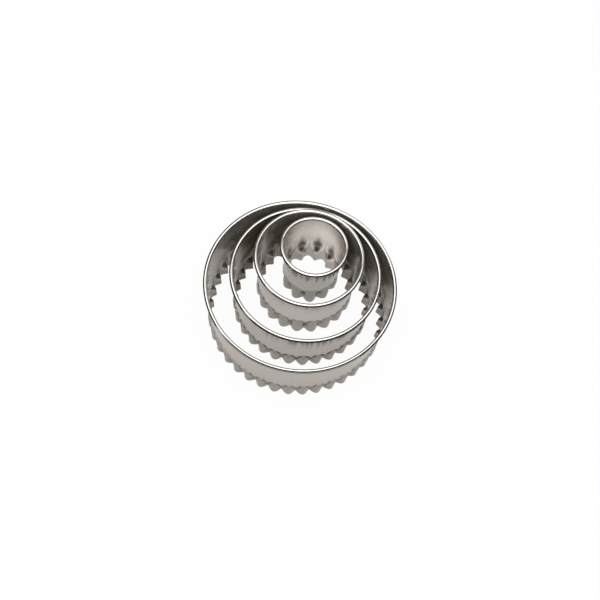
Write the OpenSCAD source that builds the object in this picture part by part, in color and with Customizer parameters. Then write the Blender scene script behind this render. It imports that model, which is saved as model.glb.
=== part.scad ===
// Nested set of four fluted pastry cutters, standing rim up.
// Frame: +Z up, origin under the middle of the largest cutter, on the plane that the set stands on.
// The front of the set faces -Y. All sizes are in mm.

/* [Cutters] */
// Diameter over the rim of the largest cutter
largest_d = 97.9; // [93:0.1:104]
// Diameter over the rim of the large cutter
large_d = 77.3; // [74:0.1:80]
// Diameter over the rim of the small cutter
small_d = 56.7; // [53:0.1:60]
// Diameter over the rim of the smallest cutter
smallest_d = 35.3; // [32:0.1:38]
// Height of the largest cutter
largest_h = 35.4; // [32:0.1:40]
// Height of the large cutter
large_h = 34.8; // [32:0.1:40]
// Height of the small cutter
small_h = 36.5; // [32:0.1:40]
// Height of the smallest cutter
smallest_h = 35.4; // [32:0.1:40]

/* [Sheet and rim] */
// Thickness of the sheet
sheet_t = 0.4; // [0.3:0.05:0.5]
// Diameter of the wire inside the rolled rim
wire_d = 1.2; // [0.9:0.1:1.4]
// Clearance round the wire
wire_gap = 0.02; // [0.01:0.01:0.05]
// Degrees that the curl stops short of closing on the wall
curl_open = 62; // [55:1:100]
// Lean of the wall, wider at the rim
wall_lean = 5; // [3:0.5:6]

/* [Flutes] */
// Flutes round the largest cutter
largest_n = 38; // [34:1:42]
// Flutes round the large cutter
large_n = 29; // [26:1:32]
// Flutes round the small cutter
small_n = 19; // [17:1:21]
// Flutes round the smallest cutter
smallest_n = 10; // [9:1:12]
// Height of the flutes of the largest cutter above the cutting edge
largest_flute_h = 10; // [8:0.5:17]
// Height of the flutes of the large cutter
large_flute_h = 10; // [8:0.5:17]
// Height of the flutes of the small cutter
small_flute_h = 12.5; // [8:0.5:17]
// Height of the flutes of the smallest cutter
smallest_flute_h = 12.5; // [8:0.5:17]
// Height of the rounded top of a groove
arch_h = 4.5; // [3:0.5:7]
// How far a lobe stands out from the line of the wall
flute_out = 1.15; // [0.5:0.05:1.4]
// How far a groove is pressed in from the line of the wall
flute_in = 1.4; // [0.9:0.05:1.6]
// Angle at which the largest cutter has a lobe
largest_lobe = -161.7; // [-180:0.1:180]
// Angle at which the large cutter has a lobe
large_lobe = -154; // [-180:0.1:180]
// Angle at which the small cutter has a lobe
small_lobe = -147.4; // [-180:0.1:180]
// Angle at which the smallest cutter has a lobe
smallest_lobe = -151.2; // [-180:0.1:180]

/* [Seam] */
// Angle of the seam of the largest cutter
largest_seam = 83; // [-180:0.1:180]
// Angle of the seam of the large cutter
large_seam = 89.6; // [-180:0.1:180]
// Angle of the seam of the small cutter
small_seam = 60; // [-180:0.1:180]
// Angle of the seam of the smallest cutter
smallest_seam = 2; // [-180:0.1:180]
// Width of the lapped seam
lap_w = 6; // [4:0.5:8]
// Width of the gap where the two ends of the rim meet
rim_slit = 0.4; // [0.2:0.1:0.8]
// Diameter of a spot weld
weld_d = 2.6; // [2:0.1:3.2]
// Height of the lower spot weld
weld_low = 20.5; // [20:0.5:22]
// Height of the upper spot weld
weld_high = 28; // [26:0.5:29]

/* [Nesting] */
// Space between the largest and the large cutter where they lie nearest
gap_largest = 0.44; // [0.3:0.02:1.2]
// Space between the large and the small cutter where they lie nearest
gap_large = 0.3; // [0.3:0.02:1]
// Space between the small and the smallest cutter where they lie nearest
gap_small = 0.3; // [0.3:0.02:1]
// Side on which the large cutter lies nearest to the largest
side_largest = 76.3; // [60:0.1:100]
// Side on which the small cutter lies nearest to the large
side_large = 87.2; // [60:0.1:100]
// Side on which the smallest cutter lies nearest to the small
side_small = 78.1; // [60:0.1:100]

/* [Hidden] */
$fn = 96;
steel = [0.74, 0.73, 0.71];
wire_steel = [0.62, 0.62, 0.62];
weld_steel = [0.5, 0.48, 0.46];
// Rolled rim: inner and outer radius of the curl
curl_in = wire_d / 2 + wire_gap;
curl_out = curl_in + sheet_t;
// Tongue of the fluted skirt inside the plain wall
tongue_t = 0.75 * sheet_t;
tongue_h = 1.2;
// Softness of the ridge of a groove, as a share of its depth
ridge_soft = 0.22;
// Columns across one flute, as shares of the pitch, closer together at the groove
cols = [0, 0.16, 0.31, 0.42, 0.5, 0.58, 0.69, 0.84];
// Rows up the skirt, as shares of the arch below its top
arch_rows = [1, 0.62, 0.28, 0];

// A cutter is [rim diameter, height, flutes, their height, angle of a lobe, angle of the seam, x, y]
function rim_r(c) = c[0] / 2 - curl_out;
// Middle of the sheet at height z on the plain wall
function wall_r(c, z) = rim_r(c) - curl_in - sheet_t / 2
  - (c[1] - curl_out - z) * tan(wall_lean);
// Depth of a groove from 1 in its middle to 0 at its edge, s away
function groove(s) = s >= 1 ? 0 :
  (sqrt(1 + pow(ridge_soft, 2)) - sqrt(pow(sin(90 * s), 2) + pow(ridge_soft, 2)))
  / (sqrt(1 + pow(ridge_soft, 2)) - ridge_soft);
// Share of the lobe's bulge at height z
function bulge(c, z) = z <= c[3] - arch_h ? 1 : z >= c[3] ? 0 :
  0.5 + 0.5 * cos(180 * (z - c[3] + arch_h) / arch_h);
// Middle of the fluted sheet at angle a and height z
function skirt_r(c, a, z) =
  let (turn = (a - c[4]) * c[2] / 360, phi = turn - floor(turn),
    across = abs(phi - 0.5) * 2, up = max(0, z - c[3] + arch_h) / arch_h,
    out = flute_out * bulge(c, z))
  wall_r(c, z) + out - (flute_in + out) * groove(sqrt(across * across + up * up));
// Point of the sheet, off to one side of its middle
function skirt_at(c, a, z, off) =
  let (r = skirt_r(c, a, z), d = (skirt_r(c, a + 0.05, z) - skirt_r(c, a - 0.05, z)) / 0.1 * 180 / PI,
    n = sqrt(r * r + d * d))
  [r * cos(a) + off * (r * cos(a) + d * sin(a)) / n,
   r * sin(a) + off * (r * sin(a) - d * cos(a)) / n, z];
function col_angle(c, i) = c[4] + (floor(i / len(cols)) + cols[i % len(cols)]) * 360 / c[2];
function lap_half(c) = lap_w / 2 / wall_r(c, 0) * 180 / PI;
function off_seam(c, a) = abs((((a - c[5]) % 360) + 540) % 360 - 180);
function lapped(c, a) = off_seam(c, a) < lap_half(c);

// Step towards the side at which the inner cutter's outside, at angle a and height z, is the gap away
// from the outer cutter's sheet, found by stepping on by the space that is left, n times
function step_to(big, c, side, gap, a, z, s, n) = n == 0 ? s :
  let (r = skirt_r(c, a, z) + sheet_t / 2 + (lapped(c, a) ? sheet_t : 0),
    x = s * cos(side) + r * cos(a), y = s * sin(side) + r * sin(a))
  step_to(big, c, side, gap, a, z,
    s + skirt_r(big, atan2(y, x), z) - sheet_t / 2 - gap - sqrt(x * x + y * y), n - 1);
// Step at which the two rims, or the inner rim and the outer wall, are the gap apart
function rim_step(big, c, gap) = let (over = c[1] - big[1])
  rim_r(big) - rim_r(c) - (over < 0 ? 2 * curl_out + gap - over * tan(wall_lean) :
    max(sheet_t + gap, sqrt(max(0, pow(2 * curl_out + gap, 2) - over * over))));
// The inner cutter stands as near to the outer one, on the given side, as rims and flutes allow
function nest(big, c, side, gap) = max(0, min(rim_step(big, c, gap),
  min([for (top = [big[3], c[3]], k = [0, 0.5, 1], a = [-45 : 1.5 : 45])
    step_to(big, c, side, gap, side + a, top - k * arch_h, 0, 9)])));
largest_c = [largest_d, largest_h, largest_n, largest_flute_h, largest_lobe, largest_seam];
large_c = [large_d, large_h, large_n, large_flute_h, large_lobe, large_seam];
small_c = [small_d, small_h, small_n, small_flute_h, small_lobe, small_seam];
smallest_c = [smallest_d, smallest_h, smallest_n, smallest_flute_h, smallest_lobe, smallest_seam];
large_at = nest(largest_c, large_c, side_largest, gap_largest) * [cos(side_largest), sin(side_largest)];
small_at = large_at + nest(large_c, small_c, side_large, gap_large) * [cos(side_large), sin(side_large)];
smallest_at = small_at
  + nest(small_c, smallest_c, side_small, gap_small) * [cos(side_small), sin(side_small)];
largest = concat(largest_c, [0, 0]);
large = concat(large_c, large_at);
small = concat(small_c, small_at);
smallest = concat(smallest_c, smallest_at);

// Fluted skirt of one cutter as a closed thin wall, with a lap at the seam and a tongue on top
module skirt(c) {
  m = c[2] * len(cols);
  zs = concat([0], c[3] * [1, 1, 1, 1] - arch_h * arch_rows, [c[3] + tongue_h]);
  k = len(zs) - 1;
  function outer_off(i, j) = j >= k - 1 ? tongue_t / 2 :
    sheet_t / 2 + (lapped(c, col_angle(c, i)) ? sheet_t : 0);
  function inner_off(j) = j >= k - 1 ? -tongue_t / 2 : -sheet_t / 2;
  pts = [for (j = [0 : k]) for (i = [0 : m - 1])
      skirt_at(c, col_angle(c, i), zs[j], outer_off(i, j)),
    for (j = [0 : k]) for (i = [0 : m - 1])
      skirt_at(c, col_angle(c, i), zs[j], inner_off(j))];
  b = (k + 1) * m;
  faces = [for (j = [0 : k - 1]) for (i = [0 : m - 1]) let (n = (i + 1) % m)
      each [[j * m + i, (j + 1) * m + i, (j + 1) * m + n],
        [j * m + i, (j + 1) * m + n, j * m + n],
        [b + j * m + i, b + (j + 1) * m + n, b + (j + 1) * m + i],
        [b + j * m + i, b + j * m + n, b + (j + 1) * m + n]],
    for (i = [0 : m - 1]) let (n = (i + 1) % m, t = k * m)
      each [[i, n, b + n], [i, b + n, b + i],
        [t + i, b + t + n, t + n], [t + i, b + t + i, b + t + n]]];
  polyhedron(pts, faces, convexity = 12);
}

// Outline of the plain wall from just above the flutes to the middle of the rim
module wall_outline(c, from, to, side) {
  polygon([[wall_r(c, from) + side - sheet_t / 2, from], [wall_r(c, from) + side + sheet_t / 2, from],
    [wall_r(c, to) + side + sheet_t / 2, to], [wall_r(c, to) + side - sheet_t / 2, to]]);
}

// Outline of the curl, open on the side of the wall below the wire
module curl_outline(c) {
  translate([rim_r(c), c[1] - curl_out]) difference() {
    circle(curl_out);
    circle(curl_in);
    polygon([[0, 0], 3 * curl_out * [cos(180 + curl_open), sin(180 + curl_open)],
      [-3 * curl_out, -3 * curl_out], [-3 * curl_out, 0]]);
  }
}

// One cutter's sheet: fluted skirt, plain wall, rolled rim and lapped seam
module band(c) {
  rim_z = c[1] - curl_out;
  wall_from = c[3] + 0.15;
  color(steel) translate([c[6], c[7], 0]) difference() {
    union() {
      skirt(c);
      rotate_extrude(convexity = 6) {
        wall_outline(c, wall_from, rim_z, 0);
        curl_outline(c);
      }
      rotate([0, 0, c[5] - lap_half(c)]) rotate_extrude(angle = 2 * lap_half(c))
        wall_outline(c, wall_from + 0.2, rim_z - curl_out - 0.2, sheet_t - 0.03);
    }
    rotate([0, 0, c[5]]) translate([rim_r(c) - curl_in + 0.05, -rim_slit / 2, rim_z - curl_out - 0.1])
      cube([3 * curl_out, rim_slit, 3 * curl_out]);
    rotate([0, 0, c[5]]) translate([rim_r(c) - 1.5 * curl_out, -rim_slit / 2, rim_z + 0.05])
      cube([3 * curl_out, rim_slit, 3 * curl_out]);
  }
}

// Wire ring inside the rolled rim, its ends butted away from the seam
module rim_wire(c) {
  color(wire_steel) translate([c[6], c[7], c[1] - curl_out]) rotate([0, 0, c[5] + 120])
    rotate_extrude(angle = 360 - 60 / rim_r(c)) translate([rim_r(c), 0]) circle(wire_d / 2);
}

// Spot welds through both layers of the seam
module seam_welds(c) {
  color(weld_steel) translate([c[6], c[7], 0]) rotate([0, 0, c[5]])
    for (z = [weld_low, weld_high])
      translate([wall_r(c, z) - sheet_t / 2, 0, z]) rotate([0, 90 + wall_lean, 0])
        translate([0, 0, -0.04]) cylinder(d = weld_d, h = 2 * sheet_t + 0.08);
}

band(largest);  // largest_band
rim_wire(largest);  // largest_rim_wire
seam_welds(largest);  // largest_seam_welds
band(large);  // large_band
rim_wire(large);  // large_rim_wire
seam_welds(large);  // large_seam_welds
band(small);  // small_band
rim_wire(small);  // small_rim_wire
seam_welds(small);  // small_seam_welds
band(smallest);  // smallest_band
rim_wire(smallest);  // smallest_rim_wire
seam_welds(smallest);  // smallest_seam_welds
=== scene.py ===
"""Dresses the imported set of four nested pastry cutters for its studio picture.

Sizes are in millimetres and angles in degrees until a mesh is made, and Blender's own unit is the
metre. Each cutter is one strip of steel sheet: its lower part is pressed into flutes, its upper
edge is rolled round a wire, and its ends are lapped and spot-welded.
"""

import logging
from dataclasses import dataclass, field
from enum import Enum

import bpy
import numpy as np
from mathutils import Matrix, Vector


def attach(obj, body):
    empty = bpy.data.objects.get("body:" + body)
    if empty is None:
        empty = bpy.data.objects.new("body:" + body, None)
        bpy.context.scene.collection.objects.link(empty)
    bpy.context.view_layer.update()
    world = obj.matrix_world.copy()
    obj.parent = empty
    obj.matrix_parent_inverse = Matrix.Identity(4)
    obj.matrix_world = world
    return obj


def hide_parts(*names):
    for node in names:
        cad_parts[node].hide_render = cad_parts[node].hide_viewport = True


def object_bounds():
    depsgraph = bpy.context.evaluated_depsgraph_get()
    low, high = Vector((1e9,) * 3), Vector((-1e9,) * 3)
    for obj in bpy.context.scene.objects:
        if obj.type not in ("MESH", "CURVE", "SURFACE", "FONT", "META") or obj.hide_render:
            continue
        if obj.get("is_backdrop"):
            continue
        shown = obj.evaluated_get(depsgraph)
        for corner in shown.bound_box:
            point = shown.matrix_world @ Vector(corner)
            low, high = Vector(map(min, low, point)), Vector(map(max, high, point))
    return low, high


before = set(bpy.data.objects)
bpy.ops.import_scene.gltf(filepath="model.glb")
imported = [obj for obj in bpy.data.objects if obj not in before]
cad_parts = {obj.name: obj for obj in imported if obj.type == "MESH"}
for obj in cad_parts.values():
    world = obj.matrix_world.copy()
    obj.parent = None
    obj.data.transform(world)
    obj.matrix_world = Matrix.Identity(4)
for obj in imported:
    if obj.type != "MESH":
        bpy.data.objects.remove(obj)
CAD_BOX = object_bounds()
MM = 0.001
PHOTO_SIDE = 600
LOG = logging.getLogger("pastry_cutters")

Colour = tuple[float, float, float]
Triple = tuple[float, float, float]
Pair = tuple[float, float]


def ease(share: np.ndarray) -> np.ndarray:
    """Smooth rise u^2 (3 - 2 u) of a share u between 0 and 1."""
    return share**2 * (3 - 2 * share)


# ---------------------------------------------------------------- shader graphs


class Signal:
    """One value socket of a material. Arithmetic on it adds Math nodes."""

    def __init__(self, graph: "Graph", socket: bpy.types.NodeSocket) -> None:
        """Keeps the graph and the output socket that the value comes from."""
        self.graph = graph
        self.socket = socket

    def math(self, operation: str, *others: "Signal | float", first: bool = True) -> "Signal":
        """Adds one Math node.

        Args:
            operation: The Math node's operation.
            others: The other operands.
            first: Whether this value is the first operand.

        Returns:
            The node's result.
        """
        values = [self, *others] if first else [*others, self]
        node = self.graph.node("ShaderNodeMath", {"operation": operation}, dict(enumerate(values)))
        return Signal(self.graph, node.outputs[0])

    def __add__(self, other: "Signal | float") -> "Signal":
        """Sum."""
        return self.math("ADD", other)

    __radd__ = __add__

    def __sub__(self, other: "Signal | float") -> "Signal":
        """Difference."""
        return self.math("SUBTRACT", other)

    def __rsub__(self, other: float) -> "Signal":
        """Difference, reflected."""
        return self.math("SUBTRACT", other, first=False)

    def __mul__(self, other: "Signal | float") -> "Signal":
        """Product."""
        return self.math("MULTIPLY", other)

    __rmul__ = __mul__

    def least(self, other: "Signal | float") -> "Signal":
        """The smaller of the two."""
        return self.math("MINIMUM", other)

    def most(self, other: "Signal | float") -> "Signal":
        """The larger of the two."""
        return self.math("MAXIMUM", other)

    def ramp(self, start: float, end: float) -> "Signal":
        """Rises smoothly from 0 at start to 1 at end; start may be the larger number.

        Args:
            start: Value at which the result is 0.
            end: Value at which the result is 1.

        Returns:
            The eased share between the two.
        """
        node = self.graph.node(
            "ShaderNodeMapRange",
            {"interpolation_type": "SMOOTHSTEP"},
            {"Value": self, "From Min": start, "From Max": end},
        )
        return Signal(self.graph, node.outputs[0])


@dataclass(frozen=True)
class Pattern:
    """One noise pattern.

    Attributes:
        detail: Number of finer layers.
        rough: How much the finer layers show.
        scale: Waves per unit of the coordinates, once they are stretched.
        stretch: Waves per unit along each axis, where they differ.
        turn: Turn of the pattern about Z, in degrees.
        share: Noise at which a spot starts, and at which it is full.
    """

    detail: float
    rough: float = 0.5
    scale: float = 1.0
    stretch: Triple | None = None
    turn: float = 0.0
    share: Pair = (0.0, 1.0)


class Graph:
    """The node tree of one material or of the world."""

    def __init__(self, tree: bpy.types.NodeTree) -> None:
        """Starts from an empty tree."""
        self.tree = tree
        tree.nodes.clear()

    def node(
        self, kind: str, settings: dict | None = None, inputs: dict | None = None
    ) -> bpy.types.Node:
        """Adds one node.

        Args:
            kind: The node's type.
            settings: Properties that are set first, such as a Math node's operation.
            inputs: Numbers, colours or links, by the socket's name or place.

        Returns:
            The new node.
        """
        made = self.tree.nodes.new(kind)
        for key, value in (settings or {}).items():
            setattr(made, key, value)
        for key, value in (inputs or {}).items():
            self.feed(made.inputs[key], value)
        return made

    def feed(self, socket: bpy.types.NodeSocket, value: object) -> None:
        """Links or sets one input socket.

        Args:
            socket: The input socket.
            value: A link's source, or a number or colour.
        """
        if isinstance(value, Signal):
            value = value.socket
        if isinstance(value, bpy.types.NodeSocket):
            self.tree.links.new(value, socket)
        elif hasattr(socket.default_value, "__len__") and len(socket.default_value) == 4:
            socket.default_value = (*value, 1.0)[:4]
        else:
            socket.default_value = value

    def attribute(self, name: str) -> Signal:
        """A number kept on the mesh's points."""
        made = self.node("ShaderNodeAttribute", {"attribute_name": name})
        return Signal(self, made.outputs["Fac"])

    def noise(self, source: bpy.types.NodeSocket, pattern: Pattern) -> Signal:
        """Noise about 0.5.

        Args:
            source: Coordinates of the pattern.
            pattern: Its stretch, turn, scale and detail.

        Returns:
            The noise.
        """
        if pattern.stretch:
            turn = (0.0, 0.0, np.radians(pattern.turn))
            inputs = {"Vector": source, "Scale": pattern.stretch, "Rotation": turn}
            source = self.node("ShaderNodeMapping", {"vector_type": "POINT"}, inputs).outputs[0]
        inputs = {"Vector": source, "Scale": pattern.scale}
        inputs |= {"Detail": pattern.detail, "Roughness": pattern.rough}
        made = self.node("ShaderNodeTexNoise", {"noise_dimensions": "3D"}, inputs)
        return Signal(self, made.outputs[0])

    def spots(self, source: bpy.types.NodeSocket, pattern: Pattern) -> Signal:
        """Spots where the noise passes the pattern's share: 1 on them and 0 between them."""
        return self.noise(source, pattern).ramp(*pattern.share)

    def mix(self, share: Signal, low: object, high: object) -> bpy.types.NodeSocket:
        """Colour between low, where share is 0, and high, where it is 1."""
        made = self.node("ShaderNodeMix", {"data_type": "RGBA"}, {0: share, 6: low, 7: high})
        return made.outputs[2]

    def bump(self, height: Signal, depth_mm: float) -> bpy.types.NodeSocket:
        """Normals of a surface whose height swings by depth_mm between 0 and 1."""
        inputs = {"Strength": 1.0, "Distance": depth_mm * MM, "Height": height}
        return self.node("ShaderNodeBump", {}, inputs).outputs[0]

    def show(self, shader: bpy.types.Node, output: str = "ShaderNodeOutputMaterial") -> None:
        """Makes a shader the surface of the material or of the world."""
        self.node(output, {}, {"Surface": shader.outputs[0]})

    def show_principled(self, inputs: dict) -> None:
        """Makes a Principled shader with these inputs the surface of the material."""
        self.show(self.node("ShaderNodeBsdfPrincipled", {}, inputs))


def start_material(name: str) -> tuple[bpy.types.Material, Graph]:
    """Starts a material.

    Args:
        name: Name of the material.

    Returns:
        The material, and the empty graph of its nodes.
    """
    material = bpy.data.materials.new(name)
    material.use_nodes = True
    return material, Graph(material.node_tree)


# ---------------------------------------------------------------- finishes


@dataclass(frozen=True)
class SheetFinish:
    """Satin rolled steel: rolling lines, press marks, hairline scratches, smudges and worn edges.

    Attributes:
        steel, smudge, darker_tone, sheen: The sheet, where it was handled, the painted shade on the
            lobes, and the painted sheen that lightens it.
        shade_and_grime, deep_shade, film, worn: Painted shade with thin dirt, the darkest
            painted shade, the matt film of use inside with painted shade, and rubbed edges.
        straw, blue: Heat colours round a weld.
        glancing: Tint of the gloss at a flat angle.
        wall_rough, bead_rough: Roughness of the wall and of the rolled rim.
        lines, presses, streaks, hairs: Patterns on the flat strip, per 100 mm along and up.
        blotches, clouds, specks, dents: Patterns in the solid, per metre.
        pressed, dented, rubbed: Height at which the press marks, the dents and the worn cutting
            edge start, and at which they are full.
        heated, flushed: Distance from a weld at which the straw and the blue start and are full.
        film_and_shade_metal: How much of the metal the film and its painted shade hide.
        relief_mm: Height of one unit of the bump.
        dent_height, film_and_shade_height: Height of the dents in those units, and what the film
        and its painted shade add.
    """

    name: str = "rolled steel sheet"
    steel: Colour = (0.448, 0.434, 0.400)
    smudge: Colour = (0.484, 0.434, 0.392)
    darker_tone: Colour = (0.21, 0.198, 0.172)
    clean: Colour = (0.94, 0.89, 0.83)
    shade_and_grime: Colour = (0.10, 0.082, 0.066)
    deep_shade: Colour = (0.045, 0.038, 0.028)
    film: Colour = (0.165, 0.122, 0.088)
    worn: Colour = (0.70, 0.685, 0.665)
    straw: Colour = (0.60, 0.47, 0.30)
    blue: Colour = (0.36, 0.38, 0.44)
    glancing: Colour = (0.87, 0.845, 0.82)
    wall_rough: float = 0.16
    bead_rough: float = 0.08
    lines: Pattern = Pattern(3.0, 0.6, stretch=(4.0, 900.0, 1.0))
    presses: Pattern = Pattern(2.0, stretch=(520.0, 9.0, 1.0))
    streaks: Pattern = Pattern(1.0, stretch=(52.0, 2.5, 1.0), share=(0.43, 0.58))
    hairs: tuple[Pattern, ...] = (
        Pattern(0.0, stretch=(14.0, 420.0, 1.0), turn=31.0, share=(0.735, 0.78)),
        Pattern(0.0, stretch=(520.0, 11.0, 1.0), turn=17.0, share=(0.75, 0.79)),
    )
    blotches: Pattern = Pattern(4.0, 0.62, scale=95.0)
    clouds: Pattern = Pattern(2.0, scale=38.0)
    specks: Pattern = Pattern(1.0, scale=900.0, share=(0.70, 0.78))
    dents: Pattern = Pattern(2.0, scale=260.0)
    pressed: Pair = (15.0, 12.0)
    dented: Pair = (20.0, 13.0)
    rubbed: Pair = (0.55, 0.12)
    heated: Pair = (3.4, 1.7)
    flushed: Pair = (2.1, 1.4)
    film_and_shade_metal: float = 0.6
    relief_mm: float = 0.004
    dent_height: float = 40.0
    film_and_shade_height: float = 90.0

    def build(self) -> bpy.types.Material:
        """Makes the material.

        The steel's colour is mixed in turn with smudges by coarse noise, and with the colours of
        painted sheen, painted shade on the lobes, film with painted shade, heat, painted shade with
        grime, the darkest painted shade and wear, each by its mark on the mesh times noise.
        Roughness follows the lines, the blotches, the painted shade with dirt and the wear.

        Returns:
            The material.
        """
        material, graph = start_material(self.name)
        sheet = graph.node("ShaderNodeUVMap", {"uv_map": "sheet"}).outputs[0]
        solid = graph.node("ShaderNodeTexCoord").outputs["Object"]
        rise, bead, groove, crease_shade = map(graph.attribute, ("rise", "bead", "groove", "crease_shade"))
        seam, weld, nook, film = map(graph.attribute, ("seam", "weld", "nook", "film"))
        bright, under, lobe = map(graph.attribute, ("bright", "under", "lobe"))
        lines, presses = (graph.noise(sheet, pattern) for pattern in (self.lines, self.presses))
        blotches, clouds = (graph.noise(solid, pattern) for pattern in (self.blotches, self.clouds))
        first_hairs, second_hairs = (graph.spots(sheet, pattern) for pattern in self.hairs)
        hairs = first_hairs + second_hairs

        # Painted shade under and on the rim, along the step, in the grooves and at the flutes'
        # tops, mixed with real dirt at the lap's edges, the streaks and the specks.
        shade_and_dirt = crease_shade * 0.9 + groove * 0.2 + seam * 0.6 + nook * 1.1
        shade_and_dirt = (shade_and_dirt + under * graph.spots(sheet, self.streaks)).least(1.0)
        shade_and_dirt = shade_and_dirt * (blotches.ramp(0.28, 0.62) * 0.5 + 0.5)
        shade_and_dirt = shade_and_dirt.most(graph.spots(solid, self.specks) * 0.25)
        rim_wear = bead * (1.0 - crease_shade.least(1.0)) * (clouds.ramp(0.52, 0.68) * 0.4 + 0.6)
        wear = rise.ramp(*self.rubbed) * blotches.ramp(0.3, 0.55) + rim_wear
        heat = weld.ramp(*self.heated) * clouds.ramp(0.2, 0.6)
        # Darkest painted shade: the cores of the shade spots at the flutes and the rim's underside.
        deep_shade_share = (nook.ramp(0.35, 0.9) * 0.8).most(bead * crease_shade.least(1.0) * 0.85)

        colour = graph.mix(blotches.ramp(0.36, 0.70) * 0.75, self.steel, self.smudge)
        # Painted highlight and sheen: the sheet made lighter where the bright mark is set.
        colour = graph.mix(bright, colour, self.clean)
        # Painted shade on the lobes below the step.
        colour = graph.mix(lobe * 0.6, colour, self.darker_tone)
        # Film of use inside, with painted shade darker to one side.
        colour = graph.mix(film * (blotches.ramp(0.70, 0.36) * 0.6 + 0.4), colour, self.film)
        colour = graph.mix(heat * 0.55, colour, self.straw)
        colour = graph.mix(weld.ramp(*self.flushed) * 0.6, colour, self.blue)
        # Painted shade, with grime.
        colour = graph.mix(shade_and_dirt * 0.75, colour, self.shade_and_grime)
        # Darkest painted shade.
        colour = graph.mix(deep_shade_share, colour, self.deep_shade)
        colour = graph.mix(wear.least(1.0) * 0.82, colour, self.worn)

        rough = self.wall_rough - bead * (self.wall_rough - self.bead_rough)
        rough = rough + (lines - 0.5) * 0.06 + (blotches - 0.5) * 0.10 + (clouds - 0.5) * 0.06
        rough = rough + shade_and_dirt * 0.22 + hairs * 0.10 - wear * 0.06 + bright * 0.12

        dents = graph.noise(solid, self.dents) * rise.ramp(*self.dented)
        height = lines * 0.30 + (presses - 0.5) * rise.ramp(*self.pressed) * 0.5
        height = height - hairs * 0.5 + clouds * 0.9
        height = height + dents * (film * self.film_and_shade_height + self.dent_height)
        graph.show_principled(
            {
                "Base Color": colour,
                "Metallic": 1.0 - film.least(1.0) * self.film_and_shade_metal,
                "Roughness": rough.most(0.04).least(0.7),
                "Specular Tint": self.glancing,
                "Normal": graph.bump(height, self.relief_mm),
            }
        )
        return material


@dataclass(frozen=True)
class WireFinish:
    """Drawn wire: a dull grey with fine lines along it."""

    name: str = "drawn wire"
    bright: Colour = (0.62, 0.61, 0.60)
    darker_tone: Colour = (0.42, 0.40, 0.38)
    rough: float = 0.36
    grain: Pattern = Pattern(3.0, 0.6, stretch=(300.0, 300.0, 3000.0))
    patches: Pattern = Pattern(3.0, 0.6, scale=260.0)
    relief_mm: float = 0.01

    def build(self) -> bpy.types.Material:
        """Makes the material: two greys and a roughness that follow fine noise.

        Returns:
            The material.
        """
        material, graph = start_material(self.name)
        solid = graph.node("ShaderNodeTexCoord").outputs["Object"]
        patches = graph.noise(solid, self.patches)
        graph.show_principled(
            {
                "Base Color": graph.mix(patches.ramp(0.35, 0.68), self.bright, self.darker_tone),
                "Metallic": 1.0,
                "Roughness": (patches - 0.5) * 0.3 + self.rough,
                "Normal": graph.bump(graph.noise(solid, self.grain), self.relief_mm),
            }
        )
        return material


@dataclass(frozen=True)
class WeldFinish:
    """Spot weld: electrode-pressed steel, grey in the middle and heat-tinted at its edge."""

    name: str = "spot weld"
    pressed: Colour = (0.50, 0.48, 0.46)
    tinted: Colour = (0.34, 0.29, 0.25)
    rough: float = 0.42
    grain: Pattern = Pattern(3.0, 0.65, scale=2600.0)
    patches: Pattern = Pattern(2.0, scale=700.0)
    relief_mm: float = 0.012

    def build(self) -> bpy.types.Material:
        """Makes the material: the tint follows how far out on the weld a point lies.

        Returns:
            The material.
        """
        material, graph = start_material(self.name)
        solid = graph.node("ShaderNodeTexCoord").outputs["Object"]
        grain, patches = graph.noise(solid, self.grain), graph.noise(solid, self.patches)
        tint = graph.attribute("spread").ramp(0.45, 0.95) + (patches - 0.5) * 0.6
        tint = tint.most(0.0).least(1.0)
        graph.show_principled(
            {
                "Base Color": graph.mix(tint, self.pressed, self.tinted),
                "Metallic": 1.0,
                "Roughness": (grain - 0.5) * 0.25 + tint * 0.12 + self.rough,
                "Normal": graph.bump(grain, self.relief_mm),
            }
        )
        return material


class Slot(Enum):
    """The record's material slots."""

    SHEET = "steel_sheet"
    WIRE = "rim_wire"
    WELD = "spot_weld"


# ---------------------------------------------------------------- meshes


def make_mesh(
    name: str, points: np.ndarray, faces: np.ndarray, marks: dict[str, np.ndarray] | None = None
) -> bpy.types.Object:
    """Puts arrays into a smooth-shaded mesh object at the origin.

    Args:
        name: Name of the object.
        points: Places in millimetres, one row each.
        faces: Corner numbers, four to a row; a row whose last two are the same is a triangle.
        marks: Numbers kept on the points, by name.

    Returns:
        The object, linked to the scene.
    """
    mesh = bpy.data.meshes.new(name)
    corners = [face[:3] if face[2] == face[3] else face for face in faces.tolist()]
    mesh.from_pydata((points * MM).tolist(), [], corners)
    mesh.polygons.foreach_set("use_smooth", np.ones(len(corners), bool))
    for key, values in (marks or {}).items():
        attribute = mesh.attributes.new(key, "FLOAT", "POINT")
        attribute.data.foreach_set("value", values.astype(np.float32).ravel())
    mesh.update()
    made = bpy.data.objects.new(name, mesh)
    bpy.context.scene.collection.objects.link(made)
    return made


def unwrap(made: bpy.types.Object, along: np.ndarray) -> None:
    """Gives the mesh a UV map named sheet.

    Args:
        made: The mesh object.
        along: Each point's place on the flat strip.
    """
    mesh = made.data
    corners = np.empty(len(mesh.loops), np.int32)
    mesh.loops.foreach_get("vertex_index", corners)
    layer = mesh.uv_layers.new(name="sheet")
    layer.data.foreach_set("uv", along[corners].astype(np.float32).ravel())


def crease_edges(made: bpy.types.Object, border: np.ndarray) -> None:
    """Marks as sharp every edge whose two points carry the same side mark on the border.

    Args:
        made: The mesh object.
        border: For each point, 0 away from the border, 1 on its plus side and 2 on its minus side.
    """
    mesh = made.data
    ends = np.empty(len(mesh.edges) * 2, np.int32)
    mesh.edges.foreach_get("vertices", ends)
    pair = border[ends.reshape(-1, 2)]
    sharp = (pair[:, 0] == pair[:, 1]) & (pair[:, 0] > 0)
    mesh.attributes.new("sharp_edge", "BOOLEAN", "EDGE").data.foreach_set("value", sharp)


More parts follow.
